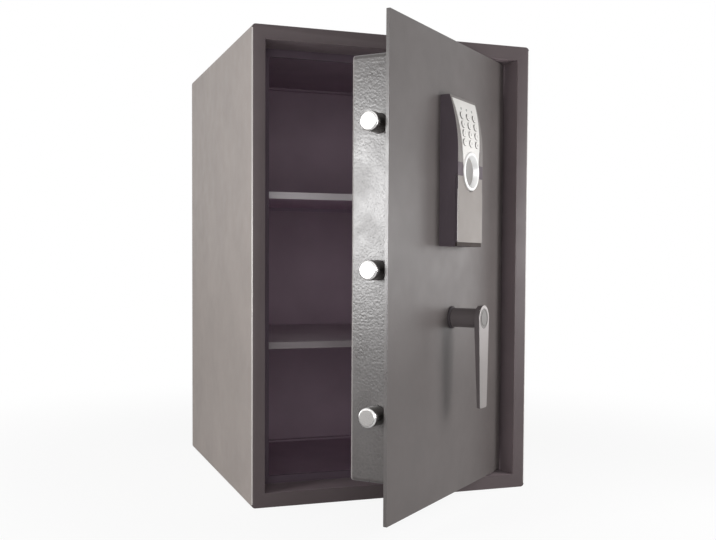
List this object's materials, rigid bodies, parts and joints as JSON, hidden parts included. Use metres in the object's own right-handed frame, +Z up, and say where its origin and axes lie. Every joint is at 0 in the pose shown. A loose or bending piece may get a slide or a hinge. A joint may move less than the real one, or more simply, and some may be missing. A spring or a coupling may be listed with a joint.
{
  "type": "electronic safe",
  "caption": "Upright steel safe with an open door, keypad unit with finger dish, lever handle, sliding round bolts and inner shelves.",
  "frame": {"origin": "middle of the cabinet's underside, on the surface that it stands on", "axes": "+Z up, the front with the door faces -Y, the door's hinge axis is on the +X side"},
  "size_m": [0.384, 0.6213, 0.6],
  "materials": {
    "cabinet_paint": "fine textured satin paint",
    "frame_paint": "fine textured satin paint",
    "door_paint": "smooth satin paint",
    "shelf_paint": "satin paint",
    "hammer_paint": "hammered gloss paint",
    "zinc_steel": "zinc plated",
    "bush_brass": "turned",
    "bolt_chrome": "polished",
    "bright_ring": "polished",
    "handle_satin": "satin metallic paint",
    "dark_plastic": "fine moulded texture",
    "grey_plastic": "satin",
    "cover_plastic": "satin metallic",
    "silver_plastic": "silver satin",
    "light_lens": "tinted clear",
    "circuit_board": "lacquered",
    "cell_jacket": "printed film, left bare"
  },
  "bodies": {
    "cabinet": {"cabinet_shell": "cabinet_paint", "back_panel": "cabinet_paint", "front_frame": "frame_paint", "upper_shelf": "shelf_paint", "lower_shelf": "shelf_paint", "shelf_brackets": "zinc_steel", "hinge_pins": "zinc_steel"},
    "door": {"door_plate": "door_paint", "lock_box": "hammer_paint", "rear_cover": "frame_paint", "cover_screws": "zinc_steel", "hinge_blocks": "zinc_steel", "hinge_bushes": "bush_brass", "bolt_guides": "zinc_steel", "carrier_studs": "zinc_steel", "stud_clips": "zinc_steel", "spindle_bush": "bush_brass", "handle_rose": "handle_satin", "solenoid": "zinc_steel", "control_board": "circuit_board", "board_standoffs": "zinc_steel", "keypad_housing": "dark_plastic", "keypad_fascia": "silver_plastic", "keypad_board": "circuit_board", "status_lights": "light_lens", "finger_ring": "bright_ring", "finger_dish": "grey_plastic", "battery_cells": "cell_jacket", "battery_contacts": "zinc_steel", "unit_screws": "zinc_steel"},
    "battery_cover": {"battery_cover": "cover_plastic"},
    "bolt_work": {"bolt_carrier": "zinc_steel", "upper_bolt": "bolt_chrome", "middle_bolt": "bolt_chrome", "lower_bolt": "bolt_chrome", "bolt_nuts": "zinc_steel"},
    "handle": {"handle_lever": "handle_satin", "handle_cap": "bright_ring", "spindle": "zinc_steel", "drive_crank": "zinc_steel", "crank_clip": "zinc_steel"},
    "plunger": {"solenoid_plunger": "zinc_steel", "plunger_spring": "zinc_steel"},
    "key_1": {"key_1": "silver_plastic"},
    "key_2": {"key_2": "silver_plastic"},
    "key_3": {"key_3": "silver_plastic"},
    "key_4": {"key_4": "silver_plastic"},
    "key_5": {"key_5": "silver_plastic"},
    "key_6": {"key_6": "silver_plastic"},
    "key_7": {"key_7": "silver_plastic"},
    "key_8": {"key_8": "silver_plastic"},
    "key_9": {"key_9": "silver_plastic"},
    "key_left": {"key_left": "silver_plastic"},
    "key_0": {"key_0": "silver_plastic"},
    "key_right": {"key_right": "silver_plastic"}
  },
  "joints": [
    {"name": "door_swing", "type": "hinge", "parent": "cabinet", "child": "door", "pos_m": [0.133, -0.20045, 0.3], "axis": [0, 0, 1], "range_deg": [-41.5, 58.5]},
    {"name": "handle_turn", "type": "hinge", "parent": "door", "child": "handle", "pos_m": [0.03972, -0.29573, 0.241], "axis": [-0.6626, 0.749, 0], "range_deg": [0, 66]},
    {"name": "bolt_slide", "type": "slide", "parent": "door", "child": "bolt_work", "axis": [0.749, 0.6626, 0], "range_m": [0, 0.022]},
    {"name": "plunger_slide", "type": "slide", "parent": "door", "child": "plunger", "axis": [0, 0, 1], "range_m": [-0.006, 0], "deforming": ["plunger_spring"]},
    {"name": "battery_cover_slide", "type": "slide", "parent": "door", "child": "battery_cover", "axis": [0, 0, -1], "range_m": [0, 0.045]},
    {"name": "key_1_press", "type": "slide", "parent": "door", "child": "key_1", "axis": [-0.6626, 0.749, 0], "range_m": [0, 0.0012], "stiffness_N_per_m": 400},
    {"name": "key_2_press", "type": "slide", "parent": "door", "child": "key_2", "axis": [-0.6626, 0.749, 0], "range_m": [0, 0.0012], "stiffness_N_per_m": 400},
    {"name": "key_3_press", "type": "slide", "parent": "door", "child": "key_3", "axis": [-0.6626, 0.749, 0], "range_m": [0, 0.0012], "stiffness_N_per_m": 400},
    {"name": "key_4_press", "type": "slide", "parent": "door", "child": "key_4", "axis": [-0.6626, 0.749, 0], "range_m": [0, 0.0012], "stiffness_N_per_m": 400},
    {"name": "key_5_press", "type": "slide", "parent": "door", "child": "key_5", "axis": [-0.6626, 0.749, 0], "range_m": [0, 0.0012], "stiffness_N_per_m": 400},
    {"name": "key_6_press", "type": "slide", "parent": "door", "child": "key_6", "axis": [-0.6626, 0.749, 0], "range_m": [0, 0.0012], "stiffness_N_per_m": 400},
    {"name": "key_7_press", "type": "slide", "parent": "door", "child": "key_7", "axis": [-0.6626, 0.749, 0], "range_m": [0, 0.0012], "stiffness_N_per_m": 400},
    {"name": "key_8_press", "type": "slide", "parent": "door", "child": "key_8", "axis": [-0.6626, 0.749, 0], "range_m": [0, 0.0012], "stiffness_N_per_m": 400},
    {"name": "key_9_press", "type": "slide", "parent": "door", "child": "key_9", "axis": [-0.6626, 0.749, 0], "range_m": [0, 0.0012], "stiffness_N_per_m": 400},
    {"name": "key_left_press", "type": "slide", "parent": "door", "child": "key_left", "axis": [-0.6626, 0.749, 0], "range_m": [0, 0.0012], "stiffness_N_per_m": 400},
    {"name": "key_0_press", "type": "slide", "parent": "door", "child": "key_0", "axis": [-0.6626, 0.749, 0], "range_m": [0, 0.0012], "stiffness_N_per_m": 400},
    {"name": "key_right_press", "type": "slide", "parent": "door", "child": "key_right", "axis": [-0.6626, 0.749, 0], "range_m": [0, 0.0012], "stiffness_N_per_m": 400}
  ],
  "couplings": [
    {"joint": "bolt_slide", "follows": "handle_turn", "m_per_rad": 0.019099}
  ]
}
